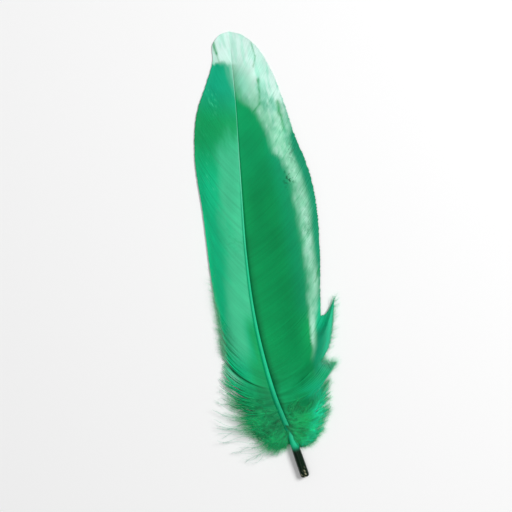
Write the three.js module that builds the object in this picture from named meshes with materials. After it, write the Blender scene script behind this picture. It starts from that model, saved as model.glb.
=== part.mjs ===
// A dyed goose quill feather, lying on a flat surface with its underside up.
// The shaft runs along Y, from the cut quill end to the tip. The narrow vane is on the left (-X), the broad one on the right.
// Each vane is one sheet of fused locks: it dips beside the shaft, rises to a crest and comes down to rest on its rim.
import * as THREE from "three";

// Driving dimensions, in millimetres and degrees.
const featherLength = 170;
const quillRadius = 1.65;
const quillFlatRadius = 1.1; // the cut end's flat face
const quillBevel = 1.2; // length of the worn edge around the cut end
const umbilicusRadius = 0.45; // the small pit in the cut end
const umbilicusDepth = 1.8;
const rachisRadius = 1.3; // where the first barbs grow
const rachisTipRadius = 0.22;
const jointGap = 0.3; // between the shaft and a vane
const tipGap = 0.15; // from the centreline to a vane, past the shaft's end
const rootThickness = 0.7;
const rimThickness = 0.4;
const shaftSides = 10;
const shaftSteps = 44;
const barbSteps = 8; // facets along a barb

// Places along the shaft, as shares of its length.
const rachisReach = 0.93; // the shaft ends here, and the vanes go on
const firstBarb = 0.095;
const lastBarb = 0.965;

// The shaft's centreline: a shallow bow to the left, lying on its quill end and low at the tip.
const shaftLine = new THREE.CatmullRomCurve3([
  new THREE.Vector3(0, 0, quillRadius),
  new THREE.Vector3(-2.4, 15, 2.1),
  new THREE.Vector3(-6.2, 33.8, 2.7),
  new THREE.Vector3(-8.2, 60.8, 3.1),
  new THREE.Vector3(-7.2, 86, 3.1),
  new THREE.Vector3(-4, 116, 2.9),
  new THREE.Vector3(-1.2, 140, 2.3),
  new THREE.Vector3(0.3, 157, 1.5),
  new THREE.Vector3(1.3, featherLength, 0.8),
]);
shaftLine.arcLengthDivisions = 400;

// One entry for each vane. side is -1 on the left and 1 on the right. The rim runs from the down at the quill to the tip.
const vanes = {
  narrow_vane: {
    side: -1,
    rim: [
      [-5, 10.5], [-15, 8.8], [-23.5, 10.4], [-29, 17], [-29.8, 27], [-27.6, 38.5], [-23.4, 47.5], [-22.3, 58],
      [-21.6, 82], [-20.4, 104], [-19.7, 125], [-16.2, 141], [-10.8, 151.5], [-6.6, 160], [-5.6, 166], [-2.4, 169.2],
      [1.3, featherLength],
    ],
    rootPower: 1.6, // above 1 the barbs sweep towards the tip
    locks: 26,
    looseUntil: 0.31, // share of the rim along which the locks are loose down
    crestHeight: 2.5,
    crestPlace: [0.48, 0.4], // share of a barb's length, at the base and at the tip
    splits: [{ lock: 9, depth: 0.6 }], // the vane is parted below this lock
    longLocks: [],
  },
  broad_vane: {
    side: 1,
    rim: [
      [1, 10.4], [6.4, 12.2], [11.4, 18], [13.6, 26], [14.4, 34], [14.8, 43.5], [16, 55], [17.6, 66],
      [20.3, 82], [22.2, 100], [21.6, 114], [18.9, 126.5], [17, 140], [14.8, 151.5], [10.9, 162], [6, 167.8],
      [1.3, featherLength],
    ],
    rootPower: 1.5,
    locks: 26,
    looseUntil: 0.2,
    crestHeight: 4.4,
    crestPlace: [0.7, 0.34],
    splits: [{ lock: 17, depth: 0.1 }],
    longLocks: [
      { lock: 6, spread: 0.7, tip: [19, 40.4], bend: 38 },
      { lock: 8, spread: 1.3, tip: [22.8, 64.8], bend: 34 },
    ],
  },
};

const rootDrop = 0.35; // barbs grow this share of the shaft's radius below its centreline
const barbBend = 25; // how far a barb leaves the shaft outward of its chord, in degrees
const lockLift = 0.16; // each lock lies a little over the next, like a shingle
const footShare = 0.9; // from here to the rim a barb lies flat on the surface
const vaneNotch = 0.03; // notch between two locks, as a share of a barb's length
const downNotch = 0.5;
const notchScatter = [0.6, 1.4]; // least and most, as a share of the notch
const lockScatter = 0.4; // how unevenly wide the locks are
const lockCrowding = 1.15; // above 1 the locks are narrower towards the quill
const rimCrowding = 1.25; // above 1 a barb's facets are shorter towards the rim
// Across one lock: its place, the share of the notch that its end is short by, and its lift.
const lockShape = [[0, 1, 0], [0.18, 0.4, -1], [0.5, 0, 0], [0.82, 0.4, 1]];

const mix = THREE.MathUtils.lerp;

// A repeatable number from 0 to 1 for a lock.
function scatter(index) {
  const value = Math.sin(index * 12.9898 + 4.1) * 43758.5453;
  return value - Math.floor(value);
}

// The shaft's radius at a share of the full length: a quill of even width, then a rachis that thins towards the tip.
function shaftRadius(share) {
  if (share < firstBarb) return mix(quillRadius, rachisRadius, (share / firstBarb) ** 3);
  const along = Math.min(1, (share - firstBarb) / (rachisReach - firstBarb));
  return mix(rachisRadius, rachisTipRadius, along ** 0.85);
}

// A point on the centreline and the level direction across it there.
function shaftFrame(share) {
  const centre = shaftLine.getPointAt(share);
  const along = shaftLine.getTangentAt(share);
  return { centre, across: new THREE.Vector3(along.y, -along.x, 0).normalize() };
}

// The shaft is a lathe about Y, with a flat cut end and its pit, bent along the centreline.
function makeShaft() {
  const profile = [
    new THREE.Vector2(0, umbilicusDepth),
    new THREE.Vector2(umbilicusRadius, umbilicusDepth),
    new THREE.Vector2(umbilicusRadius, 0),
    new THREE.Vector2(quillFlatRadius, 0),
  ];
  const reach = rachisReach * featherLength;
  for (let i = 0; i < shaftSteps; i++) {
    const y = mix(quillBevel, reach, i / shaftSteps);
    profile.push(new THREE.Vector2(shaftRadius(y / featherLength), y));
  }
  profile.push(new THREE.Vector2(0, reach));
  const geometry = new THREE.LatheGeometry(profile, shaftSides, Math.PI / shaftSides);
  const places = geometry.attributes.position;
  const end = shaftFrame(0);
  const endTangent = shaftLine.getTangentAt(0).setZ(0).normalize();
  for (let i = 0; i < places.count; i++) {
    const y = places.getY(i);
    let { centre, across } = shaftFrame(y / featherLength);
    if (y <= umbilicusDepth) {
      // The cut end is straight, so that its face stays flat.
      centre = end.centre.clone().addScaledVector(endTangent, y);
      across = end.across;
    }
    const point = centre.addScaledVector(across, places.getX(i));
    places.setXYZ(i, point.x, point.y, point.z + places.getZ(i));
  }
  return geometry;
}

// The lines that a vane's grid follows from root to rim: four to a lock, and one more at the tip.
function lockLines(vane) {
  const edge = (index) => {
    if (index === 0 || index === vane.locks) return index / vane.locks;
    return ((index + lockScatter * scatter(index * vane.side)) / (vane.locks + lockScatter)) ** lockCrowding;
  };
  const lines = [];
  for (let lock = 0; lock < vane.locks; lock++) {
    const split = vane.splits.find((item) => item.lock === lock);
    for (const [place, short, lift] of lockShape) {
      const t = mix(edge(lock), edge(lock + 1), place);
      const loose = 1 - THREE.MathUtils.smoothstep(t, vane.looseUntil * 0.6, vane.looseUntil);
      let notch = mix(vaneNotch, downNotch, loose) * mix(...notchScatter, scatter(lock + vane.locks));
      if (split && place === 0) notch = split.depth;
      if (lock === 0 && place === 0) notch = 0;
      const line = { t, reach: 1 - notch * short, lift };
      for (const long of vane.longLocks) {
        const distance = (lock + place - (long.lock + 0.5)) / long.spread;
        if (Math.abs(distance) < 1) Object.assign(line, { long, distance, reach: 1 });
      }
      lines.push(line);
    }
  }
  lines.push({ t: 1, reach: 1, lift: 0 });
  return lines;
}

// A barb's curve, seen from above: it leaves the shaft's side and bends towards the tip.
function barbCurve(vane, rimCurve, line) {
  const share = mix(firstBarb, lastBarb, line.t ** vane.rootPower);
  const { centre, across } = shaftFrame(share);
  const radius = share < rachisReach ? shaftRadius(share) : 0;
  const offset = share < rachisReach ? radius + jointGap : tipGap;
  const root = centre.clone().addScaledVector(across, vane.side * offset);
  root.z = centre.z - rootDrop * radius;
  const end = rimCurve.getPointAt(line.t);
  let bend = barbBend * Math.sqrt(1 - line.t);
  if (line.long) {
    // A long lock is full on the quill's side and hollow on the tip's side.
    const pull = 1 - Math.abs(line.distance);
    const full = line.distance < 0;
    const [tipX, tipY] = line.long.tip;
    end.x = mix(end.x, tipX, pull ** (full ? 0.35 : 1.3));
    end.y = mix(end.y, tipY, pull ** (full ? 0.8 : 1.3));
    bend = mix(bend, line.long.bend, pull);
  }
  end.x += vane.side * tipGap; // keeps the two vanes apart where they meet at the tip
  end.z = rimThickness;
  const control = new THREE.Vector3(end.x - root.x, end.y - root.y, 0);
  control.applyAxisAngle(new THREE.Vector3(0, 0, 1), THREE.MathUtils.degToRad(-vane.side * bend));
  control.multiplyScalar(0.5).add(root);
  return new THREE.QuadraticBezierCurve3(root, control, end);
}

// The height of a vane's top face at a share of the way along a barb.
function vaneHeight(vane, line, along, root) {
  if (along >= footShare) return rimThickness;
  const rise = along / footShare;
  const place = mix(vane.crestPlace[0], vane.crestPlace[1], line.t ** 1.5) / footShare;
  const power = Math.log(0.5) / Math.log(place);
  const crest = vane.crestHeight * (4 * line.t * (1 - line.t)) ** 0.6 * Math.sin(Math.PI * rise ** power);
  const shingle = lockLift * line.lift * Math.sin(Math.PI * rise);
  return mix(root.z, rimThickness, rise) + crest + shingle;
}

// A vane is a box blank, warped so that its columns follow the barbs and its rows follow the shaft.
function makeVane(vane) {
  const rimCurve = new THREE.CatmullRomCurve3(vane.rim.map(([x, y]) => new THREE.Vector3(x, y, 0)));
  rimCurve.arcLengthDivisions = 400;
  const lines = lockLines(vane);
  const curves = lines.map((line) => barbCurve(vane, rimCurve, line));
  const rows = lines.length - 1;
  const blank = new THREE.BoxGeometry(1, 1, 1, barbSteps, rows, 1);
  const places = blank.attributes.position;
  for (let i = 0; i < places.count; i++) {
    const row = Math.round((places.getY(i) + 0.5) * rows);
    const line = lines[row];
    const curve = curves[row];
    const step = 0.5 + vane.side * places.getX(i);
    const along = line.reach * (1 - (1 - step) ** rimCrowding);
    const point = curve.getPoint(along);
    const top = vaneHeight(vane, line, along, curve.v0);
    const thickness = mix(rootThickness, rimThickness, Math.min(1, along / footShare));
    places.setXYZ(i, point.x, point.y, places.getZ(i) > 0 ? top : top - thickness);
  }
  return blank;
}

const vaneGreen = new THREE.MeshStandardMaterial({ color: 0x0d9c5c, roughness: 0.55, metalness: 0 });
const quillGreen = new THREE.MeshStandardMaterial({ color: 0x16b47a, roughness: 0.35, metalness: 0 });

const feather = new THREE.Group();
const shaft = new THREE.Mesh(makeShaft(), quillGreen);
shaft.name = "shaft";
feather.add(shaft);
for (const [name, vane] of Object.entries(vanes)) {
  const mesh = new THREE.Mesh(makeVane(vane), vaneGreen);
  mesh.name = name;
  feather.add(mesh);
}

// The part's origin is the middle of the feather's footprint, on the surface it lies on.
const extent = new THREE.Box3().setFromObject(feather);
const middle = extent.getCenter(new THREE.Vector3());
feather.position.set(-middle.x, -middle.y, -extent.min.z);

export default feather;
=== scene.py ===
import bpy
import numpy as np
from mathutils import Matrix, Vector


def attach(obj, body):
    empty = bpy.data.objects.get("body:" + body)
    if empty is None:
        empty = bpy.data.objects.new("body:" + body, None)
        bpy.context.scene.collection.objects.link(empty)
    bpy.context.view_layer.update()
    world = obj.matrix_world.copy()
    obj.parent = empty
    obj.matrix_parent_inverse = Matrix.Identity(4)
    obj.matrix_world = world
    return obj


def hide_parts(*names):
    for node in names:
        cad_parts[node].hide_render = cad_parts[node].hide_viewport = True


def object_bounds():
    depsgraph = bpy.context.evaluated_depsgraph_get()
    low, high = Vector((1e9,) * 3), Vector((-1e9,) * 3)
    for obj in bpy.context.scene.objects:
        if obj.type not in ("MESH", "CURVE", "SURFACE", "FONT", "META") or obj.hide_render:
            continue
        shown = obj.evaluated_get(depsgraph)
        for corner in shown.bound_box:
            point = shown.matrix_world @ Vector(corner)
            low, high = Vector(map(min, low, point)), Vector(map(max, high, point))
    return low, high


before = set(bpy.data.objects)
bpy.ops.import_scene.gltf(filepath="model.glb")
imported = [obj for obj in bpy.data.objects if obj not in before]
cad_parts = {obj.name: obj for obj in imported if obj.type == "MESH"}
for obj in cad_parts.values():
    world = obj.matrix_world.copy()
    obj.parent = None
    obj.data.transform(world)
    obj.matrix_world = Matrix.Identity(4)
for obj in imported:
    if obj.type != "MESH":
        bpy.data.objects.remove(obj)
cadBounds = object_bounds()
mm = 0.001
upward = np.array([0.0, 0.0, 1.0])


def mix(a, b, f):
    return a + (b - a) * f


def ramp(x, low, high):
    f = np.clip((x - low) / (high - low), 0, 1)
    return f * f * (3 - 2 * f)


def bell(x, middle, width):
    return np.exp(-((x - middle) / width) ** 2)


def plateau(x, start, full, until, gone):
    # up from 0 to 1 and down again
    return ramp(x, start, full) * (1 - ramp(x, until, gone))


def unit(v):
    return v / np.linalg.norm(v, axis=-1, keepdims=True)


def lengthAlong(line):
    # how far along the line each of its points is
    return np.concatenate([[0], np.cumsum(np.linalg.norm(np.diff(line, axis=0), axis=1))])


def wander(x, step, seed):
    # smooth random values from -1 to 1, one new value each step
    draw = np.random.default_rng(seed).uniform(-1, 1, 4096)
    place = np.asarray(x, float) / step + 1000
    low = np.floor(place).astype(int)
    return mix(draw[low % 4096], draw[(low + 1) % 4096], ramp(place - low, 0, 1))


def patches(x, y, wide, tall, seed):
    # smooth random patches from -1 to 1 over a plane, of about this width and height
    draw = np.random.default_rng(seed).uniform(-1, 1, (64, 64))
    across, up = x / wide + 640, y / tall + 640
    i, j = np.floor(across).astype(int), np.floor(up).astype(int)
    f, g = ramp(across - i, 0, 1), ramp(up - j, 0, 1)
    low = mix(draw[i % 64, j % 64], draw[(i + 1) % 64, j % 64], f)
    high = mix(draw[i % 64, (j + 1) % 64], draw[(i + 1) % 64, (j + 1) % 64], f)
    return mix(low, high, g)


def smoothLine(points, count=1500):
    # a centripetal Catmull-Rom line through the points, as evenly spaced points
    p = np.array(points, float)
    p = np.vstack([2 * p[0] - p[1], p, 2 * p[-1] - p[-2]])
    gap = np.linalg.norm(np.diff(p, axis=0), axis=1) ** 0.5
    f = np.linspace(0, 1, 60, endpoint=False)[:, None]
    run = []
    for k in range(1, len(p) - 2):
        a, b, c = gap[k - 1], gap[k], gap[k + 1]
        m1 = ((p[k] - p[k - 1]) / a - (p[k + 1] - p[k - 1]) / (a + b) + (p[k + 1] - p[k]) / b) * b
        m2 = ((p[k + 1] - p[k]) / b - (p[k + 2] - p[k]) / (b + c) + (p[k + 2] - p[k + 1]) / c) * b
        run.append((2 * f**3 - 3 * f**2 + 1) * p[k] + (f**3 - 2 * f**2 + f) * m1
                   + (3 * f**2 - 2 * f**3) * p[k + 1] + (f**3 - f**2) * m2)
    run = np.vstack(run + [p[-2][None]])
    length = lengthAlong(run)
    even = np.linspace(0, length[-1], count)
    return np.stack([np.interp(even, length, run[:, k]) for k in range(run.shape[1])], 1)


def alongLine(line, share):
    # the point at a share of the line's length
    at = np.clip(share, 0, 1) * (len(line) - 1)
    return np.stack([np.interp(at, np.arange(len(line)), line[:, k]) for k in range(line.shape[1])], -1)


# the feather's own measures, in mm from the middle of the quill's cut end

feather = {
    "length": 170,
    "shaftLine": [(0, 0, 1.65), (-2.4, 15, 2.1), (-6.2, 33.8, 2.7), (-8.2, 60.8, 3.1), (-7.2, 86, 3.1),
                  (-4, 116, 2.9), (-1.2, 140, 2.3), (0.3, 157, 1.5), (1.3, 170, 0.8)],
    "quillRadius": 1.65,
    "rachisRadius": 1.3,
    "tipRadius": 0.12,
    "firstBarb": 0.095,     # shares of the shaft's length
    "lastBarb": 0.965,
    "rachisReach": 0.965,
    "slim": 0.86,           # how slim the rachis gets, and between which shares
    "slimBetween": (0.15, 0.55),
    "cutDepth": 0.6,        # mm
}
shaftPath = smoothLine(feather["shaftLine"])

# its place in the frame, from the corners of the solid shaft's cut end
shaftCorners = np.array([v.co[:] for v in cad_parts["shaft"].data.vertices])
cutEnd = shaftCorners[shaftCorners[:, 1] < shaftCorners[:, 1].min() + feather["cutDepth"] * mm]
featherOrigin = np.array([*np.unique(cutEnd.round(6), axis=0).mean(0)[:2], 0.0])


def toFrame(points):
    return points * mm + featherOrigin


def shaftRadius(share):
    bare = feather["firstBarb"]
    quill = mix(feather["quillRadius"], feather["rachisRadius"], np.clip(share / bare, 0, 1) ** 3)
    along = np.clip((share - bare) / (feather["rachisReach"] - bare), 0, 1)
    rachis = mix(feather["rachisRadius"], feather["tipRadius"], along ** 0.85)
    slim = mix(1, feather["slim"], ramp(share, *feather["slimBetween"]))
    return np.where(share < bare, quill, rachis * slim)


def shaftAcross(share):
    # level, to the right of the shaft
    step = 0.004
    along = alongLine(shaftPath, share + step) - alongLine(shaftPath, share - step)
    return unit(np.stack([along[..., 1], -along[..., 0], np.zeros(along.shape[:-1])], -1))


def turnOutward(mesh):
    # a closed mesh whose faces look inwards has a volume below zero
    corners = np.empty(len(mesh.vertices) * 3)
    mesh.vertices.foreach_get("co", corners)
    mesh.calc_loop_triangles()
    triangles = np.empty(len(mesh.loop_triangles) * 3, np.int32)
    mesh.loop_triangles.foreach_get("vertices", triangles)
    a, b, c = corners.reshape(-1, 3)[triangles.reshape(-1, 3)].transpose(1, 0, 2)
    if (a * np.cross(b, c)).sum() < 0:
        mesh.flip_normals()


def addToScene(name, data):
    item = bpy.data.objects.new(name, data)
    bpy.context.scene.collection.objects.link(item)
    return item


def makeObject(name, points, faces, material, values):
    # points in mm; values hold a number or a colour for each point, by name
    mesh = bpy.data.meshes.new(name)
    mesh.from_pydata(toFrame(points).tolist(), [], faces)
    mesh.validate()
    turnOutward(mesh)
    for key, value in values.items():
        kind, field = "FLOAT", "value"
        if value.ndim == 2:
            kind, field = "FLOAT_COLOR", "color"
            value = np.hstack([value, np.ones((len(value), 1))])
        layer = mesh.attributes.new(key, kind, "POINT")
        layer.data.foreach_set(field, value.astype(np.float32).ravel())
    mesh.polygons.foreach_set("use_smooth", [True] * len(mesh.polygons))
    mesh.update()
    mesh.materials.append(material)
    return addToScene(name, mesh)


def tubeFaces(strands, stations, sides, first=0):
    # quads and two end faces for each strand, with points ordered strand, station, side
    strand = np.arange(strands)[:, None, None] * stations * sides
    station = np.arange(stations - 1)[None, :, None] * sides
    side = np.arange(sides)[None, None, :]
    after = (side + 1) % sides
    a = strand + station + side
    b = strand + station + after
    faces = (np.stack([a, b, b + sides, a + sides], -1).reshape(-1, 4) + first).tolist()
    starts = np.arange(strands)[:, None] * stations * sides + first
    faces += (starts + np.arange(sides)[::-1][None]).tolist()
    faces += (starts + (stations - 1) * sides + np.arange(sides)[None]).tolist()
    return faces


# materials

def newMaterial(name):
    material = bpy.data.materials.new(name)
    material.use_nodes = True
    return material, material.node_tree.nodes["Principled BSDF"]


def setInputs(node, values):
    for name, value in values.items():
        node.inputs[name].default_value = value


def addNoise(nodes, links, scale, detail=3, rough=0.55, stretch=(1, 1, 1)):
    coords = nodes.new("ShaderNodeTexCoord")
    mapping = nodes.new("ShaderNodeMapping")
    setInputs(mapping, {"Scale": stretch})
    noise = nodes.new("ShaderNodeTexNoise")
    setInputs(noise, {"Scale": scale, "Detail": detail, "Roughness": rough})
    links.new(coords.outputs["Object"], mapping.inputs["Vector"])
    links.new(mapping.outputs["Vector"], noise.inputs["Vector"])
    return noise.outputs["Fac"]


def mapRange(nodes, links, source, low, high):
    remap = nodes.new("ShaderNodeMapRange")
    setInputs(remap, {"To Min": low, "To Max": high})
    links.new(source, remap.inputs["Value"])
    return remap.outputs["Result"]


def addFlecks(nodes, links, look, base):
    # dark flecks where the piece's "fleck" values let the noise through
    mask = nodes.new("ShaderNodeAttribute")
    mask.attribute_name = "fleck"
    cut = nodes.new("ShaderNodeMapRange")
    setInputs(cut, {"From Min": look["fleckCut"][0], "From Max": look["fleckCut"][1]})
    links.new(addNoise(nodes, links, look["fleckScale"], 2, 0.5), cut.inputs["Value"])
    here = nodes.new("ShaderNodeMath")
    here.operation = "MULTIPLY"
    links.new(mask.outputs["Fac"], here.inputs[0])
    links.new(cut.outputs["Result"], here.inputs[1])
    flecked = nodes.new("ShaderNodeMix")
    flecked.data_type = "RGBA"
    setInputs(flecked, {"B": (*look["fleckDye"], 1)})
    links.new(here.outputs["Value"], flecked.inputs["Factor"])
    links.new(base, flecked.inputs["A"])
    return flecked.outputs["Result"]


def dyedMaterial(look):
    # the dye comes from the piece's own "dye" colours, broken up by noise
    material, shader = newMaterial(look["name"])
    nodes, links = material.node_tree.nodes, material.node_tree.links
    dye = nodes.new("ShaderNodeAttribute")
    dye.attribute_name = "dye"
    patch = addNoise(nodes, links, look["patchScale"], 4, 0.6)
    level = mapRange(nodes, links, patch, 1 - look["patchDepth"], 1 + look["patchDepth"])
    shade = nodes.new("ShaderNodeMix")
    shade.data_type = "RGBA"
    shade.blend_type = "MULTIPLY"
    setInputs(shade, {"Factor": 1})
    links.new(dye.outputs["Color"], shade.inputs["A"])
    links.new(level, shade.inputs["B"])
    base = shade.outputs["Result"]
    if "fleckDye" in look:
        base = addFlecks(nodes, links, look, base)
    links.new(base, shader.inputs["Base Color"])
    polish = addNoise(nodes, links, look["patchScale"] * 1.7)
    links.new(mapRange(nodes, links, polish, *look["rough"]), shader.inputs["Roughness"])
    bump = nodes.new("ShaderNodeBump")
    setInputs(bump, {"Strength": look["bump"], "Distance": look["bumpDepth"] * mm})
    grain = addNoise(nodes, links, look["grainScale"], 2, 0.5, look.get("grainStretch", (1, 1, 1)))
    links.new(grain, bump.inputs["Height"])
    links.new(bump.outputs["Normal"], shader.inputs["Normal"])
    setInputs(shader, {"Specular IOR Level": look["specular"]})
    if "sheen" in look:
        setInputs(shader, {"Sheen Weight": look["sheen"], "Sheen Roughness": look["sheenRough"],
                           "Sheen Tint": (*look["sheenTint"], 1)})
    return material


# noise scales are per metre, bump depths in mm
vaneLook = {
    "name": "dyedBarbs",
    "patchScale": 90,
    "patchDepth": 0.12,
    "rough": (0.42, 0.58),
    "bump": 0.25,
    "bumpDepth": 0.05,
    "grainScale": 2600,
    "specular": 0.18,
    "fleckScale": 900,
    "fleckCut": (0.54, 0.6),
    "fleckDye": (0.0, 0.13, 0.05),
}
downLook = {
    "name": "dyedDown",
    "patchScale": 140,
    "patchDepth": 0.2,
    "rough": (0.65, 0.85),
    "bump": 0.2,
    "bumpDepth": 0.04,
    "grainScale": 3000,
    "specular": 0.2,
    "sheen": 0.15,
    "sheenRough": 0.5,
    "sheenTint": (0.7, 1.0, 0.85),
}
quillLook = {
    "name": "dyedHorn",
    "patchScale": 220,
    "patchDepth": 0.18,
    "rough": (0.18, 0.28),
    "bump": 0.4,
    "bumpDepth": 0.06,
    "grainScale": 1800,
    "grainStretch": (1, 0.08, 1),
    "specular": 0.16,
}
vaneMaterial = dyedMaterial(vaneLook)
downMaterial = dyedMaterial(downLook)
quillMaterial = dyedMaterial(quillLook)
print("materials ready")


# the shaft: a round quill that turns into a grooved rachis

shaftShape = {
    "stations": 260,
    "sides": 24,
    "rachisFrom": (0.07, 0.16),     # shares of the shaft's length
    "grooveDepth": 0.16,    # share of the radius, on the upper face of the rachis
    "grooveWidth": 0.42,    # share of half a turn
    "wrinkle": 0.012,       # mm, long wrinkles on the bare quill
    "bevel": 1.2,           # mm, over which the cut end rounds off
    "endRings": [(0, 0.70), (0.25, 0.88), (0.6, 0.96)],     # mm from the end, share of the radius
    "pitRadius": 0.45,
    "pitDepth": 1.8,
    "quillDye": (0.001, 0.012, 0.004),
    "laterDyes": [(10, 13, (0.01, 0.52, 0.25)),    # from here to there in mm it turns into this
                  (14, 21, (0.01, 0.56, 0.26)),
                  (70, 120, (0.05, 0.62, 0.33)),
                  (102, 124, (0.14, 0.7, 0.43)),
                  (142, 152, (0.56, 0.92, 0.78))],
    "shadow": (15, 19, 25, 38),     # among the down
    "shadowDepth": 0.28,
    "speckDye": (0.42, 0.4, 0.26),
    "specksUntil": (1.5, 4.5),
}


def makeShaft(shape):
    sides = shape["sides"]
    reach = feather["rachisReach"] * feather["length"]
    turn = np.arange(sides) / sides * 2 * np.pi
    ends, edge = zip(*shape["endRings"])
    run = np.concatenate([ends, np.linspace(shape["bevel"], reach, shape["stations"])])
    share = run / feather["length"]
    radius = shaftRadius(share)
    radius[:len(edge)] *= edge
    centre = alongLine(shaftPath, share)
    across = shaftAcross(share)
    rachis = ramp(share, *shape["rachisFrom"])[:, None]
    upperFace = bell(np.cos(turn / 2 - np.pi / 4) ** 2, 1, shape["grooveWidth"])[None]
    groove = shape["grooveDepth"] * rachis * upperFace
    wrinkles = shape["wrinkle"] * wander(turn[None] * 3 + run[:, None] * 0.03, 0.35, 5) * (1 - rachis)
    size = radius[:, None] * (1 - groove) + wrinkles
    points = (centre[:, None] + across[:, None] * (size * np.cos(turn))[..., None]
              + upward * (size * np.sin(turn))[..., None])
    # the cut end and its pit, from the pit's floor outwards
    end, endAcross = alongLine(shaftPath, 0.0), shaftAcross(0.0)
    endAlong = np.cross(upward, endAcross)
    pit, depth = shape["pitRadius"], shape["pitDepth"]
    rings = [(pit * 0.6, depth), (pit, depth * 0.5), (pit, 0.15), (pit * 1.2, 0)]
    inner = [end + endAlong * inwards + endAcross * (wide * np.cos(turn))[:, None]
             + upward * (wide * np.sin(turn))[:, None] for wide, inwards in rings]
    points = np.concatenate([np.array(inner), points])
    faces = tubeFaces(1, len(points), sides)
    y = np.concatenate([np.zeros(len(rings)), run])
    dye = np.array(shape["quillDye"]) * np.ones((1, sides, 1))
    for low, high, later in shape["laterDyes"]:
        dye = mix(dye, np.array(later), ramp(y, low, high)[:, None, None])
    dye = dye * (1 - shape["shadowDepth"] * plateau(y, *shape["shadow"]))[:, None, None]
    specks = wander(y[:, None] + turn[None] * 5, 0.33, 8)
    specks = specks + wander(y[:, None] * 2.2 - turn[None] * 3, 0.4, 9)
    specks = ramp(specks, 0.75, 1.1) * (1 - ramp(y, *shape["specksUntil"]))[:, None]
    dye = mix(dye, np.array(shape["speckDye"]), specks[..., None])
    return makeObject("quill_shaft", points.reshape(-1, 3), faces, quillMaterial,
                      {"dye": dye.reshape(-1, 3)})


quillShaft = makeShaft(shaftShape)
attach(quillShaft, "root")
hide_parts("shaft")
print("shaft ready", len(quillShaft.data.polygons), "faces")


# the vanes: barbs side by side, each a closed ribbon with a ridge along it.
# Towards the quill the barbs work loose, thin out and carry soft barbules.

narrowVane = {
    "name": "narrow_vane_barbs",
    "node": "narrow_vane",
    "side": -1,
    "rim": [(-5, 10.5), (-15, 8.8), (-23.5, 10.4), (-29, 17), (-29.8, 27), (-27.6, 38.5), (-23.4, 47.5),
            (-22.3, 58), (-21.6, 82), (-20.4, 104), (-19.7, 125), (-16.2, 141), (-10.8, 151.5), (-6.6, 160),
            (-5.6, 166), (-2.4, 169.2), (1.3, 170)],
    "rootPower": 1.82,
    "rootPlace": (0.9, 0.3),    # out and up from the shaft's middle, as shares of its radius
    "rootPlaceTip": (0.4, 0.85),
    "barbs": 400,
    "looseUntil": 0.33,         # share of the rim where the barbs are loose
    "firmShare": (0.37, 0.86),  # share of a loose barb that still holds to its neighbours
    "crestHeight": 2.5,         # mm
    "crestPlace": (0.48, 0.48), # share of a barb where it is highest, low and high on the vane
    "longLocks": [],
    "splits": [0.325],          # shares of the rim
    "tuft": (2, 6),             # loose barbs that cling together
    "tuftClose": 0.22,
    "tuftLift": (0.0, 1.4),
    "tuftTurn": 3,              # degrees
    "fringe": (0.02, 0.12),     # how far most loose barbs run past their firm share
    "wisps": 0.36,              # share of them that run on to the rim
    "wispLength": (0.8, 1.04),
    "frayUntil": 0.52,          # share of the rim
    "ragged": 0.1,              # how much shorter the frayed barbs may be
    "wave": 2.0,                # mm, for the loose ends
    "tufts": 290,               # soft tufts that lie on the loose barbs
    "downDye": "greyDown",
    "seed": 21,
}
broadVane = {
    "name": "broad_vane_barbs",
    "node": "broad_vane",
    "side": 1,
    "rim": [(1, 10.4), (6.4, 12.2), (11.4, 18), (13.6, 26), (14.4, 34), (14.8, 43.5), (16, 55), (17.6, 66),
            (20.3, 82), (22.2, 100), (21.6, 114), (18.9, 126.5), (17, 140), (14.8, 151.5), (10.9, 162),
            (6, 167.8), (1.3, 170)],
    "rootPower": 1.5,
    "rootPlace": (0.66, 0.66),
    "rootPlaceTip": (0.3, 0.95),
    "barbs": 400,
    "looseUntil": 0.2,
    "firmShare": (0.88, 0.94),
    "crestHeight": 4.4,
    "crestPlace": (0.7, 0.5),
    "longLocks": [{"at": 0.158, "half": 0.014, "tip": (16.6, 35.6), "bend": 34},
                  {"at": 0.205, "half": 0.02, "tip": (19, 40.4), "bend": 38},
                  {"at": 0.277, "half": 0.042, "tip": (22.8, 64.8), "bend": 34}],
    "splits": [],
    "tuft": (2, 6),
    "tuftClose": 0.1,
    "tuftLift": (-0.2, 0.5),
    "tuftTurn": 1.2,
    "fringe": (0.02, 0.12),
    "wisps": 0.12,
    "wispLength": (0.99, 1.05),
    "frayUntil": 0.3,
    "ragged": 0.0,
    "wave": 0.5,
    "tufts": 300,
    "downDye": "tealDown",
    "seed": 22,
}
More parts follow.
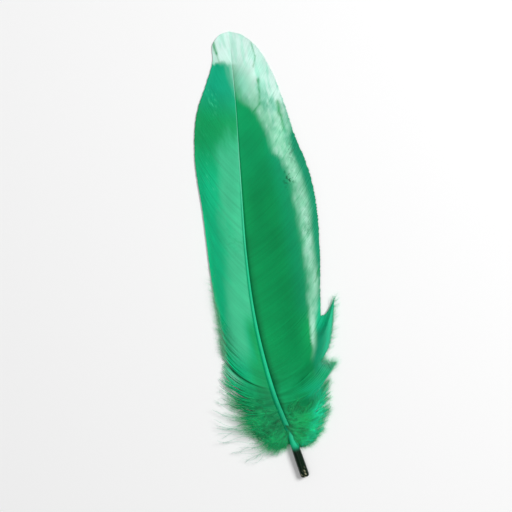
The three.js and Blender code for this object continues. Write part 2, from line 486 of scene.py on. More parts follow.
barb = {
    "stations": 30,
    "crowding": 1.15,       # above 1, the stations crowd towards the tip
    "bend": 25,             # degrees that a barb sets out outward of its chord
    "foot": 0.95,           # about here it comes down to the surface
    "flatFrom": (0.62, 0.9),    # shares of the rim between which the crest gets lower
    "flatTip": 0.5,
    "tipRoots": (0.58, 0.8),    # shares of the shaft, from rootPlace to rootPlaceTip
    "rimHeight": 0.32,      # mm
    "lowest": 0.22,
    "ridge": (0.04, 0.026),
    "rootRidge": 0.25,      # share of that at the shaft
    "ridgeTone": 1.04,      # the ridge's brightness, and that of the rest
    "bodyTone": 0.97,
    "thick": (0.16, 0.08),
    "overlap": 1.12,
    "tipShare": 0.035,      # where a barb narrows at its end
    "pointed": (0.7, 0.15), # how much a firm one does, low and high on the vane
    "stemShare": 0.17,      # width of a free stem, as a share of the barb spacing
    "looseTo": (0.55, 1.08),    # shares of looseUntil between which the barbs turn firm
    "uneven": (0.9, 1.1),   # how much their firm shares differ
    "longest": 1.05,
    "lift": 0.03,           # mm, from barb to barb
    "wavy": 0.14,           # mm, over many barbs
    "looseRise": 0.8,       # mm, up and down along a loose end
    "tuftFrom": 0.35,       # looser barbs than this cling together in tufts, firmer ones in locks
    "lockWidth": (8, 24),   # barbs in a lock
    "lastLock": 4,          # and the fewest in the last one
    "lockLift": 0.06,       # mm, from lock to lock
    "lockGap": 0.24,        # mm at the rim, for the widest of the gaps
    "opens": (0.05, 0.11),  # mm, the gaps that begin to show and those that show in full
    "splitLift": 0.3,       # mm
    "splitReach": 6,        # barbs
    "calmFrom": (0.3, 0.52),    # shares of the rim between which the locks grow quiet
    "calm": 0.1,
    "reach": (0.994, 1.008),
}


def vaneHeight(vane, t, u, rootZ):
    # down from the shaft to the surface with a soft foot, and the crest between them
    rise = u / barb["foot"]
    past = rise - 0.75
    rise = np.where(past < 0, rise, 1 - 0.25 * np.exp(-past / 0.25 - 12 * past ** 2))
    rise = np.clip(rise, 0, 1)
    place = mix(*vane["crestPlace"], t ** 1.5) / barb["foot"]
    power = np.log(0.5) / np.log(place)
    crest = vane["crestHeight"] * (4 * t * (1 - t)) ** 0.6 * np.sin(np.pi * rise ** power)
    crest = crest * mix(1, barb["flatTip"], ramp(t, *barb["flatFrom"]))
    return mix(rootZ, barb["rimHeight"], rise) + crest


def barbEnds(vane, t, rim):
    # roots on the shaft's side, ends on the rim and the control points between them
    share = mix(feather["firstBarb"], feather["lastBarb"], t ** vane["rootPower"])
    centre, radius = alongLine(shaftPath, share), shaftRadius(share)
    tipward = ramp(share, *barb["tipRoots"])
    out, up = (mix(a, b, tipward) for a, b in zip(vane["rootPlace"], vane["rootPlaceTip"]))
    root = centre + shaftAcross(share) * (vane["side"] * radius * out)[:, None]
    root[:, 2] = centre[:, 2] + up * radius
    end = alongLine(rim, t)
    bend = barb["bend"] * np.sqrt(1 - t)
    for lock in vane["longLocks"]:
        distance = (t - lock["at"]) / lock["half"]
        pull = np.clip(1 - np.abs(distance), 0, 1)
        full = distance < 0
        end[:, 0] = mix(end[:, 0], lock["tip"][0], np.where(full, pull ** 0.35, pull ** 1.3))
        end[:, 1] = mix(end[:, 1], lock["tip"][1], np.where(full, pull ** 0.8, pull ** 1.3))
        bend = mix(bend, lock["bend"], pull)
    chord = end - root[:, :2]
    angle = np.radians(-vane["side"] * bend)
    control = 0.5 * turned(chord, angle) + root[:, :2]
    return root, control, end


def turned(plan, angle):
    # plan directions turned by an angle in radians
    c, s = np.cos(angle), np.sin(angle)
    x, y = plan[..., 0], plan[..., 1]
    return np.stack([x * c - y * s, x * s + y * c], -1)


def bezier(root, control, end, u):
    # points in plan, for each barb and each share u along it
    a, b, c = root[:, None, :2], control[:, None], end[:, None]
    u = u[..., None]
    return (1 - u) ** 2 * a + 2 * u * (1 - u) * b + u ** 2 * c


def groupBarbs(vane, loose, rng):
    # random locks and tufts: a number for each barb and its place from 0 to 1 in it
    count = vane["barbs"]
    group, place, size = np.zeros(count, int), np.zeros(count), np.zeros(count, int)
    stops = [int(split * count) for split in vane["splits"]] + [count]
    first = number = 0
    while first < count:
        inTuft = loose[first] > barb["tuftFrom"]
        width = int(rng.integers(*(vane["tuft"] if inTuft else barb["lockWidth"])))
        last = min([first + width] + [stop for stop in stops if stop > first])
        if count - last < barb["lastLock"]:
            last = count
        group[first:last] = number
        place[first:last] = (np.arange(last - first) + 0.5) / (last - first)
        size[first:last] = last - first
        number, first = number + 1, last
    return group, place, size


def layBarbs(vane):
    # the line of every barb, as points by barb and station, and what belongs to it
    rng = np.random.default_rng(vane["seed"])
    count = vane["barbs"]
    rim = smoothLine(vane["rim"])
    t = (np.arange(count) + 0.5) / count
    index = np.arange(count)
    root, control, end = barbEnds(vane, t, rim)
    looseUntil = vane["looseUntil"]
    loose = 1 - ramp(t, *(looseUntil * bound for bound in barb["looseTo"]))
    share = mix(*vane["firmShare"], np.clip(t / looseUntil, 0, 1) ** 3)
    share = share * rng.uniform(*barb["uneven"], count)
    group, place, size = groupBarbs(vane, loose, rng)
    groups = group.max() + 1
    wisp = rng.uniform(size=count) < vane["wisps"]
    wispLength = rng.uniform(*vane["wispLength"], count)
    fringe = rng.uniform(*vane["fringe"], groups)[group] * rng.uniform(0.6, 1.2, count)
    length = np.minimum(np.where(wisp, wispLength, share + fringe), barb["longest"])
    reach = rng.uniform(*barb["reach"], count) * mix(1, length, loose)
    fray = (1 - ramp(t, looseUntil, vane["frayUntil"])) * (1 - loose)
    reach *= 1 - vane["ragged"] * fray * rng.uniform(0, 1, count) ** 2
    firm = np.clip(share / reach, 0, 0.97)
    u = (1 - np.linspace(1, 0, barb["stations"]) ** barb["crowding"])[None] * np.ones((count, 1))
    out = u * reach[:, None]
    plan = bezier(root, control, end, out)
    # tufts turn a little and close towards their tips; firm locks part a little at the rim
    turn = rng.normal(0, vane["tuftTurn"], groups)[group]
    turn = (turn + rng.normal(0, vane["tuftTurn"] * 0.7, count)) * loose
    bent = np.radians(turn)[:, None] * ramp(u, firm[:, None] * 0.4, 1.1)
    plan = root[:, None, :2] + turned(plan - root[:, None, :2], bent)
    rimStep = np.gradient(alongLine(rim, t), axis=0)
    step = np.linalg.norm(rimStep, axis=1)
    rimWay = rimStep / step[:, None]
    calm = mix(1, barb["calm"], ramp(t, *barb["calmFrom"]))
    gap = barb["lockGap"] * rng.uniform(0, 1, groups)[group] ** 4 * calm
    gap = mix(gap, vane["tuftClose"] * size * step, loose ** 1.5)
    plan += rimWay[:, None] * (((0.5 - place) * gap)[:, None] * ramp(u, 0.3, 1.0))[..., None]
    height = vaneHeight(vane, t[:, None], u, root[:, 2][:, None])
    bow = np.sin(np.pi * np.clip(u / barb["foot"], 0, 1))
    height += bow * barb["lockLift"] * ((place - 0.5) * calm * (1 - loose))[:, None]
    height += bow * barb["wavy"] * calm[:, None] * wander(t[:, None] * 60 + u * 3, 1.0, vane["seed"] + 4)
    height += (rng.uniform(-1, 1, count) * barb["lift"] * calm)[:, None] * ramp(u, 0, 0.15)
    for split in vane["splits"]:
        away = index + 0.5 - int(split * count)
        raised = np.sign(away) * np.exp(-np.abs(away) / barb["splitReach"]) * barb["splitLift"]
        height += raised[:, None] * ramp(u, 0.08, 0.4)
    # loose ends wave about, each in its own way
    free = loose[:, None] * ramp(u, firm[:, None] * 0.5, 1.0)
    across = unit(turned(end - root[:, :2], np.pi / 2))
    sway = wander(u * 2.4 + group[:, None] * 17.3, 1.0, vane["seed"] + 5) * 0.6
    sway = sway + wander(u * 3.5 + index[:, None] * 9.7, 1.0, vane["seed"] + 6) * 0.8
    plan += across[:, None] * (sway * free * vane["wave"])[..., None]
    lift = rng.uniform(*vane["tuftLift"], groups)[group][:, None]
    rise = barb["looseRise"] * wander(u * 3 + index[:, None] * 5.1, 1.0, vane["seed"] + 7)
    height += free * (lift + rise)
    height = np.maximum(height, barb["lowest"])
    line = np.concatenate([plan, height[..., None]], -1)
    # the even distance to the next barb, for barbs that end in different places
    even = bezier(root[1:], control[1:], end[1:], out[:-1])
    even = np.pad(even - bezier(root, control, end, out)[:-1], ((0, 1), (0, 0), (0, 1)))
    even[-1] = even[-2]
    return dict(line=line, t=t, u=u, index=index, loose=loose, firm=firm, share=share, reach=reach,
                wisp=wisp, group=group, even=even, fray=fray, gap=gap, rng=rng)


def makeVane(vane, laid):
    line, u, loose, group = laid["line"], laid["u"], laid["loose"][:, None], laid["group"]
    # each ribbon spans to the next barb, apart from a lock's last one
    span = np.empty_like(line)
    span[:-1] = line[1:] - line[:-1]
    span[-1] = span[-2]
    lastOfLock = np.append(group[1:] != group[:-1], True)
    before = np.roll(span, 1, axis=0)
    shown, inFull = barb["opens"]
    parted = np.clip((laid["gap"] + np.roll(laid["gap"], -1) - shown) / (inFull - shown), 0, 1) * lastOfLock
    opened = ramp(u, 0.3, 0.8)[..., None] * parted[:, None, None]
    span = mix(span, before, opened)
    span = mix(span, laid["even"], ramp(loose, 0, 0.3)[..., None])
    firm = laid["firm"][:, None]
    stem = ramp(u, firm * 0.7, np.minimum(firm * 1.3, 1)) * np.minimum(1, loose * 1.6)
    width = mix(1, barb["stemShare"], stem)
    width *= 1 - 0.6 * laid["fray"][:, None] * ramp(u, 0.86, 0.98)
    fromTip = np.clip((1 - u) / barb["tipShare"], 0, 1)
    pointed = mix(*barb["pointed"], ramp(laid["t"], 0.3, 0.45))[:, None]
    pointed = mix(pointed, 1, np.maximum(loose, laid["fray"][:, None]))
    width = (width * mix(1, np.maximum(np.sqrt(fromTip), 0.1), pointed))[..., None]
    span *= width
    ridge = (mix(*barb["ridge"], u) * mix(barb["rootRidge"], 1, ramp(u, 0, 0.15)))[..., None]
    ridge = ridge * np.sqrt(width) * upward
    thick = (mix(*barb["thick"], u)[..., None] * np.sqrt(width)) * upward
    section = np.stack([line - 0.3 * span - 0.2 * ridge, line - 0.1 * span - thick,
                        line + barb["overlap"] * span - 0.6 * ridge, line + ridge], 2)
    faces = tubeFaces(*line.shape[:2], 4)
    laid["dye"] = vaneDye(vane, laid)
    tone = np.array([barb["bodyTone"]] * 3 + [barb["ridgeTone"]])
    dye = np.clip(laid["dye"][:, :, None] * tone[:, None], 0, 1).reshape(-1, 3)
    fleck = np.repeat(spots(line[..., 0], line[..., 1], wash["flecks"]).reshape(-1), 4)
    return makeObject(vane["name"], section.reshape(-1, 3), faces, vaneMaterial,
                      {"dye": dye, "fleck": fleck})


# how the dyes, the painted sheen and the painted shade lie on the vanes, in mm on the feather

dyes = {
    "deep": (0, 0.335, 0.096),      # the broad vane's main green
    "upper": (0, 0.38, 0.125),      # the same towards the tip
    "edge": (0, 0.31, 0.15),        # the strip outside its pale band, with painted shade along the rim
    "lock": (0, 0.5, 0.25),         # the locks that stand out
    "teal": (0, 0.48, 0.215),       # middle of the narrow vane
    "rim": (0, 0.74, 0.33),         # towards its rim
    "light": (0.05, 0.54, 0.275),   # painted sheen beside the shaft on the narrow vane, where it rises towards the light; also its pale specks
    "band": (0.275, 0.68, 0.455),   # the pale band: pale dye and a painted sheen highlight
    "tip": (0.72, 0.98, 0.89),      # the pale tip: pale dye and a painted highlight
    "fresh": (0.33, 0.85, 0.64),    # greener streaks in it
    "shade": (0, 0.25, 0.078),      # between the strands at the base
    "strand": (0.002, 0.39, 0.13),
    "margin": (0.004, 0.52, 0.29),  # the broad vane's soft lower margin
    "greyDown": (0.44, 0.72, 0.59),
    "tealDown": (0.16, 0.72, 0.5),
}
dyes = {name: np.array(dye) for name, dye in dyes.items()}
wash = {
    "inner": [(36, 9), (43, 9.7), (51, 11.1), (61, 13), (70, 14.2), (80, 13.9), (98, 14.2), (107, 14),
              (112, 13.4), (118, 12.6), (119.8, 11.8), (121.4, 9.9), (124, 9.3), (129, 9.3), (135, 7.2),
              (139, 5.4), (142, 3), (145, 1.2), (156.5, 0.2), (158.5, -3), (160, -8), (175, -10)],
    "outer": [(36, 10), (43, 10.4), (51, 13.2), (61, 15.6), (70, 17.8), (80, 18.2), (98, 19.1), (107, 19.3),
              (116, 18.2), (121, 16.6), (127, 16.6), (131, 19), (135, 24), (175, 24)],  # the band's, as y, x
    "soft": 1.4,                # mm either side of its inner edge
    "softTip": 3.2,
    "softTipAt": (136, 146, 157, 161),
    "bandFrom": (41, 47),
    "slimUntil": (56, 66),      # low down it is slim and bright
    # where the band turns into the pale tip of pale dye and painted highlight
    "paleTipFrom": (141, 161),
    "patchyUntil": (140, 150),    # up to here the band is patchy
    "dull": (80, 22),           # middle and half width of its duller stretch
    "dullness": 0.13,
    "greenFrom": (118, 135),
    "greenSpots": [(2.2, 3.2, 149, 7, 0.85), (11, 2.2, 154, 5, 0.5)],
    # dark lines of painted shade, from x, y to x, y, then width and depth
    "marks": [(8.8, 164.3, 9.5, 159, 0.3, 0.45), (9.5, 159, 8.1, 155, 0.3, 0.4),
              (8.9, 150, 8.6, 146.5, 0.5, 0.7), (8.6, 146.5, 8.1, 141, 0.35, 0.6),
              (8.1, 141, 5.4, 138.4, 0.4, 0.75), (-5.2, 166.8, -4.9, 162.5, 0.55, 0.75),
              (-4.9, 162.5, -4.2, 159, 0.35, 0.5), (14.9, 140.5, 14.9, 135.5, 0.85, 0.75),
              (14.9, 135.5, 15.3, 129.5, 0.5, 0.7), (18.8, 76, 16.5, 71.5, 0.3, 0.7),
              (-10.8, 92.7, -7.9, 90.2, 0.22, 0.35), (2.2, 33.2, 10.5, 34.2, 0.6, 0.4),
              (2, 24.2, 8.7, 25, 0.6, 0.6)],
    "flecks": [(13.4, 2.0, 111, 3.2, 1.0), (17.8, 1.2, 92, 6, 0.35), (16.5, 1.5, 121, 5, 0.45),
               (-12, 5, 92, 6, 0.1), (-9, 3, 140, 5, 0.15)],
    "looseUntil": (30, 48),     # up to here the loose end's colours show
}
narrowWash = {
    "lightWide": (0.78, 0.3),   # share of the barbs that the painted sheen strip covers
    "lightSlims": (52, 88),     # and where it slims, in mm up the feather
    "lightFrom": (42, 54),
    "lightUntil": (122, 137),
    "lightAtShaft": (56, 66),
    "rimUntil": (98, 122),
    "deepFrom": (112, 134),
    "tealFrom": (132, 148),
    "lightSpots": [(-9.5, 1.6, 146, 6, 1.0), (-15.5, 2.5, 118, 14, 0.6)],
    "darkStrips": [((-4.6, -2.2), (30, 38, 56, 66), 1.0),   # beside the shaft, along it, depth
                   ((-8.5, -4), (30, 36, 43, 52), 0.9)],
}
broadWash = {
    "upperFrom": (102, 124),
    "bluer": (1, 0.9, 1.25),    # towards the band
    "bluerBeside": (5, 12),
    "bluerFrom": (55, 65),
    "edgeUntil": (60, 70),
    "lockUntil": (62, 68),
    "marginUntil": (29, 38),
    "gleam": (6.4, 3.4, 21, 3, 0.7),    # brighter fluff
    "creaseShade": 0.42,             # painted shade along the shaft, and where it fades
    "creaseUntil": (50, 118),
}


def tint(dye, name, share, tone=1.0):
    # the dye, mixed towards a named one by a share at each point
    return mix(dye, dyes[name] * tone, share[..., None])


def spots(x, y, places):
    # soft spots: middle and half width in x, the same in y, and strength
    return np.max([depth * bell(x, *place[:2]) * bell(y, *place[2:]) for *place, depth in places], 0)


def lineMask(x, y, x0, y0, x1, y1, width):
    # 1 on the line between two points, fading out at the mark's width
    dx, dy, across, up = x - x0, y - y0, x1 - x0, y1 - y0
    f = np.clip((dx * across + dy * up) / (across ** 2 + up ** 2), 0, 1)
    return np.exp(-((dx - f * across) ** 2 + (dy - f * up) ** 2) / width ** 2)


def narrowGreens(x, y, u, streak, cloud, brush):
    # teal with a painted sheen strip beside the shaft, deeper towards the tip
    wide = mix(*narrowWash["lightWide"], ramp(y, *narrowWash["lightSlims"])) + 0.1 * ramp(y, 92, 108)
    light = 1 - ramp(u + 0.05 * streak + 0.12 * cloud + 0.05 * brush, wide - 0.16, wide + 0.18)
    light *= ramp(y, *narrowWash["lightFrom"]) * (1 - ramp(y + 3 * brush, *narrowWash["lightUntil"]))
    light *= mix(ramp(u, 0.1, 0.3), 1, ramp(y, *narrowWash["lightAtShaft"]))
    rimward = ramp(u, 0.5, 0.9) * (1 - 0.8 * ramp(y, *narrowWash["rimUntil"]))
    dye = tint(dyes["teal"], "rim", rimward)
    dye = tint(dye, "deep", 0.9 * ramp(y, *narrowWash["deepFrom"]))
    dye = tint(dye, "light", light)
    dye = tint(dye, "teal", ramp(y + 0.4 * x, *narrowWash["tealFrom"]), np.array([1, 0.85, 1]))
    specks = ramp(patches(x, y, 0.6, 1.1, 42), 0.5, 0.8) * spots(x, y, narrowWash["lightSpots"])
    dye = tint(dye, "light", 0.6 * specks, 1.25)
    shaftX, shaftY = np.array(feather["shaftLine"]).T[:2]
    beside = x - np.interp(y, shaftY, shaftX)
    strip = np.max([depth * ramp(beside, *across) * plateau(y, *along)
                    for across, along, depth in narrowWash["darkStrips"]], 0)
    return tint(dye, "deep", 0.9 * strip, 1.1)


def broadGreens(x, y, u, cloud):
    # deep green, bluer beside the pale band, and brighter on the locks that stand out
    outer = np.interp(y, *zip(*wash["outer"]))
    outside = np.maximum(ramp(x, outer - 1, outer + 1),
                         ramp(u, 0.8, 1.0) * (1 - ramp(y, *broadWash["edgeUntil"])))
    dye = tint(dyes["deep"], "upper", ramp(y, *broadWash["upperFrom"]))
    dye = dye * (1 + 0.06 * cloud)[..., None]
    nearBand = ramp(x, *broadWash["bluerBeside"]) * ramp(y, *broadWash["bluerFrom"])
    dye = dye * mix(np.ones(3), np.array(broadWash["bluer"]), nearBand[..., None])
    # painted shade on the strip along the rim
    dye = tint(dye, "edge", outside)
    return tint(dye, "lock", ramp(u, 0.72, 0.9) * (1 - ramp(y, *broadWash["lockUntil"])))


def layBand(dye, x, y, streak, cloud, brush):
    # the pale band inside the rim, pale dye with a painted sheen highlight where the vane curves down, and
    # the pale tip that it turns into, pale dye with a painted highlight too
    inner = np.interp(y + 1.6 * brush + 1.2 * cloud, *zip(*wash["inner"]))
    inner = inner + 0.2 * streak + 0.8 * cloud + 1.1 * brush
    outer = np.interp(y, *zip(*wash["outer"])) + 0.2 * streak + 0.6 * cloud
    slim = 1 - ramp(y, *wash["slimUntil"])
    soft = mix(wash["soft"], wash["softTip"], plateau(y, *wash["softTipAt"])) * mix(1, 0.55, slim)
    band = ramp(x, inner - soft, inner + soft) * (1 - ramp(x, outer - 1.4, outer + 1.4 - 0.4 * slim))
    band *= ramp(y, *wash["bandFrom"])
    tipward = y + 3 * cloud + np.where(x > 4, 1.2, 0.4) * (x - 4)
    bandDye = tint(dyes["band"], "tip", ramp(tipward, *wash["paleTipFrom"]))
    green = ramp(0.5 * cloud + brush, -0.1, 0.6) * ramp(y, *wash["greenFrom"])
    green = green * mix(0.75, 0.4, ramp(y, 150, 162))
    green = np.maximum(green, spots(x, y, wash["greenSpots"]))
    bandDye = tint(bandDye, "fresh", green, mix(0.8, 1.0, ramp(y, 135, 155))[..., None])
    patchy = 1 - ramp(y, *wash["patchyUntil"])
    band *= 0.96 - 0.3 * ramp(brush + 0.4 * cloud, 0, 0.8) * patchy
    grain = patches(x, y, 0.9, 1.5, 36)
    band *= 1 - 0.3 * ramp(grain, 0.15, 0.8) * (1 - ramp(y, 138, 150))
    bandDye = tint(bandDye, "tip", 0.25 * ramp(-grain, 0.1, 0.8) * patchy)
    band *= 1 - 0.35 * ramp(x, 13.5, 16.5) * plateau(y, 118, 126, 134, 142)
    core = bell(x - inner, 3.2, 1.4) * plateau(y, 50, 60, 108, 118)
    bandDye = tint(bandDye, "tip", 0.1 * core + 0.22 * slim)
    bandDye = bandDye * (1 - wash["dullness"] * bell(y, *wash["dull"]))[..., None]
    return mix(dye, bandDye, band[..., None])


def layMarks(dye, x, y):
    # dark lines: painted shade in the gaps and creases between locks and tufts
    patchy = 1 + 0.45 * patches(x, y, 0.9, 2.2, 44)
    jagged = x + 0.22 * patches(x, y, 1.2, 1.8, 43)
    for *line, depth in wash["marks"]:
        dye = tint(dye, "deep", lineMask(jagged, y, *line) * np.clip(depth * patchy, 0, 0.95))
    return dye


def laySplit(dye, u, away):
    # painted shadow along the slit and a painted highlight beside it; away is the number of barbs from it
    dark = np.exp(-((away + 1.2) / 1.3) ** 2) * ramp(u, 0.04, 0.15) * (1 - 0.6 * ramp(u, 0.75, 1))
    shine = np.exp(-((away + 6) / 3.5) ** 2) * bell(u, 0.74, 0.16)
    return tint(tint(dye, "fresh", 0.7 * shine, 0.8), "shade", dark, 0.4)


def vaneDye(vane, laid):
    # a colour for each barb and station
    x, y, u = laid["line"][..., 0], laid["line"][..., 1], laid["u"]
    loose, index = laid["loose"][:, None], laid["index"][:, None]
    onLeft = vane["side"] < 0
    streak = 0.6 * wander(index + u * 2, 2.4, 31) + 0.5 * wander(index * 0.23 + u * 5, 1.0, 32)
    cloud = patches(x, y, 5, 9, 33)
    brush = 0.6 * patches(x, y, 1.3, 7, 34) + 0.4 * patches(x, y, 0.7, 3, 35)
    dye = narrowGreens(x, y, u, streak, cloud, brush) if onLeft else broadGreens(x, y, u, cloud)
    dye = layMarks(layBand(dye, x, y, streak, cloud, brush), x, y)
    for split in vane["splits"]:
        dye = laySplit(dye, u, index + 0.5 - int(split * len(index)))
    # the loose end of the feather: streaky, paler outwards
    base = tint(dyes["shade"], "strand", ramp(streak + 0.4 * brush, -0.7, 0.8))
    if onLeft:
        base = base * mix(0.72, 1.0, ramp(u + 0.1 * streak, 0.1, 0.5))[..., None]
    else:
        margin = ramp(u + 0.12 * streak, 0.4, 0.85) * (1 - ramp(y, *broadWash["marginUntil"]))
        base = tint(base, "margin", margin)
        gleam = spots(x, y, [broadWash["gleam"]]) * ramp(streak + 0.5 * brush, -0.5, 0.5)
        base = base * (1 + gleam)[..., None]
    lowEnd = 1 - ramp(y, *wash["looseUntil"])
    dye = mix(dye, base, (np.maximum(loose, lowEnd) * 0.95)[..., None])
    out, share = u * laid["reach"][:, None], laid["share"][:, None]
    dye = tint(dye, vane["downDye"], loose * ramp(out, share, share + 0.4))
    dye = tint(dye, vane["downDye"], 0.6 * laid["fray"][:, None] * ramp(u, 0.8, 1), 0.7)
    if not onLeft:
        # painted shade in the crease between the shaft and the broad vane
        creaseShade = mix(broadWash["creaseShade"], 0.0, ramp(y, *broadWash["creaseUntil"]))
        dye = dye * (1 - creaseShade * (1 - ramp(u, 0.01, 0.09)))[..., None]
    level = 1 + 0.05 * laid["rng"].uniform(-1, 1, len(u))[:, None] + 0.05 * streak + 0.05 * cloud
    return np.clip(dye * level[..., None], 0, 1)


# the down: fine hairs along the free stems, and soft tufts that lie on the loose barbs

hair = {
    "freeFrom": 0.06,       # looser barbs than this carry hairs on their stems, firmer ones at the rim
    "spacing": 0.16,        # mm along a stem
    "length": (0.8, 2.4),
    "wispLength": (0.25, 1.0),
    "fraySpacing": 0.1,     # the same on the frayed rim
    "frayLength": (0.6, 3.0),
    "frayWidth": 1.5,
    "frayDepth": 0.13,      # share of a barb's length
    "kept": 0.55,           # share of the hairs that the wisps keep
    "radius": 0.018,
    "angle": (15, 70),      # degrees from the stem
    "sweep": 0.3,
    "rise": 0.55,
    "curl": 0.2,
    "tone": 1.7,            # brightness at the stems, painted light that makes up for the shade among the fine hairs
    "lowest": 0.08,
    "stations": 4,
}
tuft = {
    "strands": 8,
    "length": (2.5, 6.5),   # mm
    "slant": 9,             # barbs that a tuft crosses, at most times
    "spread": 2.2,          # barbs either side of its middle
    "lift": (0.08, 0.4),
    "radius": 0.045,
    "stations": 5,
    # how much brighter the tufts are than the barbs they lie on: painted light that makes up for the shade
    # on thin strands
    "tone": (1.25, 2.1),
    "collar": 0.14,         # share of the tufts that start across the shaft, low down
    "collarBarbs": 34,
    "collarOut": (-0.13, 0.04),
    "overShaft": 0.06,      # mm
}


def strandRings(line, radius):
    # three-sided rings round each strand's points; the tiny numbers keep lengths above zero
    way = np.gradient(line, axis=1)
    way /= np.linalg.norm(way, axis=-1, keepdims=True) + 1e-9
    side = unit(np.cross(way, upward) + np.array([1e-6, 0, 0]))
    over = np.cross(side, way)
    turn = np.radians([90, 210, 330])
    return line[:, :, None] + radius[..., None, None] * (
        side[:, :, None] * np.cos(turn)[:, None] + over[:, :, None] * np.sin(turn)[:, None])


def onBarb(laid, number, out, values):
    # a value on a barb at this share of its full length
    u = np.clip(out / laid["reach"][number], 0, 1)
    at = (1 - (1 - u) ** (1 / barb["crowding"])) * (barb["stations"] - 1)
    low = np.minimum(at.astype(int), barb["stations"] - 2)
    return mix(values[number, low], values[number, low + 1], (at - low)[..., None])


def onVane(laid, number, out, values):
    # the same between two barbs
    number = np.clip(number, 0, len(values) - 1.001)
    low = number.astype(int)
    return mix(onBarb(laid, low, out, values), onBarb(laid, low + 1, out, values), (number - low)[..., None])


def shaftTop(points):
    # height of the shaft's upper face under these points, 0 beside it
    share = np.interp(points[..., 1], shaftPath[:, 1], np.linspace(0, 1, len(shaftPath)))
    centre, radius = alongLine(shaftPath, share), shaftRadius(share)
    beside = np.abs(points[..., 0] - centre[..., 0]) / radius
    return np.where(beside < 1, centre[..., 2] + radius * np.sqrt(np.maximum(1 - beside ** 2, 0)), 0)


def stemHairs(vane, laid, rng):
    # paths, radii and dyes of the hairs on the free stems and the frayed rim
    line, u, loose = laid["line"], laid["u"], laid["loose"]
    starts, ways, places, sizes, widths = [], [], [], [], []
    for k in np.nonzero(laid["t"] < vane["frayUntil"])[0]:
        path, share, reach = line[k], laid["share"][k], laid["reach"][k]
        free = loose[k] > hair["freeFrom"]
        length = lengthAlong(path)
        if free:
            first = np.interp(mix(1.0, laid["firm"][k] * 0.75, min(1, loose[k] * 1.5)), u[k], length)
        else:
            first = length[-1] * (1 - hair["frayDepth"] * laid["fray"][k])
        count = int((length[-1] - first) / hair["spacing" if free else "fraySpacing"])
        if count < 1:
            continue
        at = np.linspace(first, length[-1] * 0.995, count) + rng.uniform(-0.15, 0.15, count)
        out = at / length[-1] * reach
        outer = ramp(out, share + 0.08, share + 0.25) if laid["wisp"][k] else np.zeros(count)
        size = rng.uniform(*hair["length"], count)
        size = mix(size, rng.uniform(*hair["wispLength"], count), outer) * mix(0.55, 1.0, loose[k])
        if not free:
            size = rng.uniform(*hair["frayLength"], count)
        keep = rng.uniform(size=count) < mix(1, hair["kept"], outer)
        at, out = at[keep], out[keep]
        point, ahead, back = (np.stack([np.interp(at + step, length, path[:, c]) for c in range(3)], 1)
                              for step in (0, 0.3, -0.3))
        starts.append(point)
        ways.append(ahead - back)
        sizes.append(size[keep])
        widths.append(np.full(len(out), 1.0 if free else hair["frayWidth"]))
        places.append(ramp(out, share * 0.85, min(1.3, share + 0.4)) if free
                      else rng.uniform(0.3, 0.8, len(out)))
    start, way = np.vstack(starts), unit(np.vstack(ways))
    place, size = np.concatenate(places), np.concatenate(sizes)
    level = unit(np.cross(way, upward))
    count = len(start)
    side = rng.choice([-1.0, 1.0], count)
    angle = np.radians(rng.uniform(*hair["angle"], count))
    rise = rng.normal(0.1, hair["rise"], count)
    s = np.linspace(0, 1, hair["stations"])[None, :, None]
    aim = way * np.cos(angle)[:, None] + level * (side * np.sin(angle))[:, None]
    aim = aim + upward * rise[:, None] * 0.6
    curl = rng.normal(0, hair["curl"], (count, 3)) * size[:, None]
    path = start[:, None] + (aim * size[:, None])[:, None] * s
    path = path + (way * (size * hair["sweep"])[:, None])[:, None] * s ** 2
    path = path + curl[:, None] * np.sin(np.pi * s)
    path[..., 2] = np.maximum(path[..., 2], hair["lowest"])
    radius = hair["radius"] * (1.1 - s[..., 0]) * rng.uniform(0.8, 1.3, (count, 1))
    radius *= np.concatenate(widths)[:, None]
    dye = tint(dyes["strand"] * hair["tone"], vane["downDye"], place)
    return path, radius, dye * rng.uniform(0.8, 1.25, (count, 1))


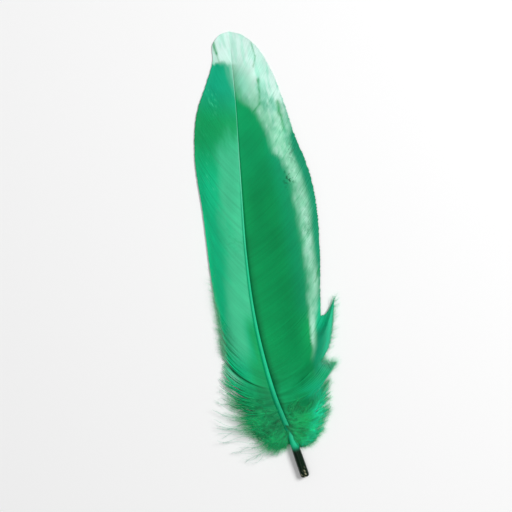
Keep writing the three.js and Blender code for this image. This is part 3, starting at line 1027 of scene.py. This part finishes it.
def tuftStrands(vane, laid, rng):
    # the same for the tufts, each a few strands side by side that cross some barbs
    loose, share = laid["loose"], laid["share"]
    tufts, strands = vane["tufts"], tuft["strands"]
    each = (tufts, strands, 1)
    weight = np.maximum(loose - 0.3, 0) * (1 - ramp(laid["t"], 0.2, 0.3))
    number = rng.choice(len(loose), tufts, p=weight / weight.sum())
    out = rng.uniform(0.02, 0.85, tufts) * share[number]
    collar = rng.uniform(size=tufts) < tuft["collar"]
    number = np.where(collar, rng.integers(0, tuft["collarBarbs"], tufts), number)
    out = np.where(collar, rng.uniform(*tuft["collarOut"], tufts), out)
    cross = rng.normal(0, tuft["slant"], tufts)
    run = rng.uniform(*tuft["length"], tufts)
    full = np.linalg.norm(laid["line"][number, -1] - laid["line"][number, 0], axis=1) / laid["reach"][number]
    tone = rng.uniform(*tuft["tone"], tufts)
    lift = rng.uniform(*tuft["lift"], tufts) * mix(0.3, 1, loose[number])
    s = np.linspace(0, 1, tuft["stations"])[None, None, :]
    offset = rng.uniform(-1, 1, each) * tuft["spread"]
    reach = (run / full)[:, None, None] * rng.uniform(0.6, 1.1, each)
    begin = out[:, None, None] + rng.uniform(-0.03, 0.03, each)
    at = number[:, None, None] + offset * (1 - 0.5 * s) + (cross[:, None, None] + offset * 0.4) * s ** 1.3
    outs = begin + np.minimum(reach, np.maximum(share[number][:, None, None] + 0.06 - begin, 0.03)) * s
    path = onVane(laid, at, outs, laid["line"])
    # below 0 a strand runs on from the barb's root across the shaft
    near = 0.15
    outward = onVane(laid, at, outs * 0 + near, laid["line"]) - onVane(laid, at, outs * 0, laid["line"])
    path += outward * np.minimum(outs, 0)[..., None] / near
    path[..., 2] = np.maximum(path[..., 2], shaftTop(path) + tuft["overShaft"])
    rise = 0.05 + lift[:, None, None] * np.sin(np.pi * s ** 0.8) + 0.12 * s
    path[..., 2] += rise * rng.uniform(0.6, 1.2, each)
    # painted light: each tuft takes its barb's colour, made brighter
    dye = onVane(laid, at[..., :1], outs[..., 1:2], laid["dye"])[:, :, 0] * tone[:, None, None]
    dye = dye * rng.uniform(0.85, 1.15, each)
    radius = tuft["radius"] * (1.05 - s ** 2) * np.ones(each)
    return path.reshape(-1, *path.shape[2:]), radius.reshape(-1, radius.shape[2]), dye.reshape(-1, 3)


def makeDown(vane, laid, name):
    rng = np.random.default_rng(vane["seed"] + 50)
    points, faces, colours = [], [], []
    first = 0
    for path, radius, dye in (stemHairs(vane, laid, rng), tuftStrands(vane, laid, rng)):
        points.append(strandRings(path, radius).reshape(-1, 3))
        faces += tubeFaces(len(path), path.shape[1], 3, first)
        colours.append(np.repeat(dye, path.shape[1] * 3, 0))
        first += len(points[-1])
    dye = np.clip(np.vstack(colours), 0, 1)
    return makeObject(name, np.vstack(points), faces, downMaterial, {"dye": dye})


for vane, downName in ((narrowVane, "left_down"), (broadVane, "right_down")):
    laid = layBarbs(vane)
    piece = makeVane(vane, laid)
    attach(piece, "root")
    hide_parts(vane["node"])
    down = makeDown(vane, laid, downName)
    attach(down, "root")
    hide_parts(vane["node"])
    print(vane["name"], "ready", len(piece.data.polygons), "faces, down", len(down.data.polygons), "faces")


# floor, light and camera

stageLook = {
    "floorSize": 3.0,
    "floorColour": (0.95, 0.95, 0.95),
    "floorRough": 0.9,
    "floorSpecular": 0.1,
    "worldColour": (1, 1, 1),
    "worldStrength": 0.22,
    "keyPlace": (0.74, 0.27, 0.9),      # from the feather, in metres
    "keySize": 0.5,
    "keyPower": 10.9,
    "fillPlace": (-0.3, 0.1, 1.4),
    "fillSize": 1.2,
    "fillPower": 5.2,
}
cameraLook = {
    "lens": 100,            # mm
    "sensor": 36,
    "frameWidth": 0.193,    # metres of the surface across the picture
    "lean": 10.245,         # degrees that the feather leans left in the picture
}

middle = (Vector(cadBounds[0]) + Vector(cadBounds[1])) / 2
bpy.ops.mesh.primitive_plane_add(size=stageLook["floorSize"], location=(middle.x, middle.y, 0))
floor = bpy.context.object
floor.name = "floor"
floorMaterial, shader = newMaterial("paperFloor")
setInputs(shader, {"Base Color": (*stageLook["floorColour"], 1), "Roughness": stageLook["floorRough"],
                   "Specular IOR Level": stageLook["floorSpecular"]})
floor.data.materials.append(floorMaterial)

world = bpy.context.scene.world or bpy.data.worlds.new("studio")
bpy.context.scene.world = world
world.use_nodes = True
setInputs(world.node_tree.nodes["Background"],
          {"Color": (*stageLook["worldColour"], 1), "Strength": stageLook["worldStrength"]})


def addSoftbox(name, place, size, power):
    lamp = bpy.data.lights.new(name, "AREA")
    lamp.shape = "DISK"
    lamp.size = size
    lamp.energy = power
    box = addToScene(name, lamp)
    box.location = middle + Vector(place)
    box.rotation_euler = (middle - box.location).to_track_quat("-Z", "Y").to_euler()


addSoftbox("keyLight", stageLook["keyPlace"], stageLook["keySize"], stageLook["keyPower"])
addSoftbox("fillLight", stageLook["fillPlace"], stageLook["fillSize"], stageLook["fillPower"])

lens = bpy.data.cameras.new("camera")
lens.lens = cameraLook["lens"]
lens.sensor_width = cameraLook["sensor"]
camera = addToScene("camera", lens)
distance = cameraLook["frameWidth"] * cameraLook["lens"] / lens.sensor_width
camera.location = (middle.x, middle.y, distance)
camera.rotation_euler = (0, 0, np.radians(-cameraLook["lean"]))
bpy.context.scene.camera = camera
bpy.context.scene.view_settings.view_transform = "Standard"
print("stage ready")
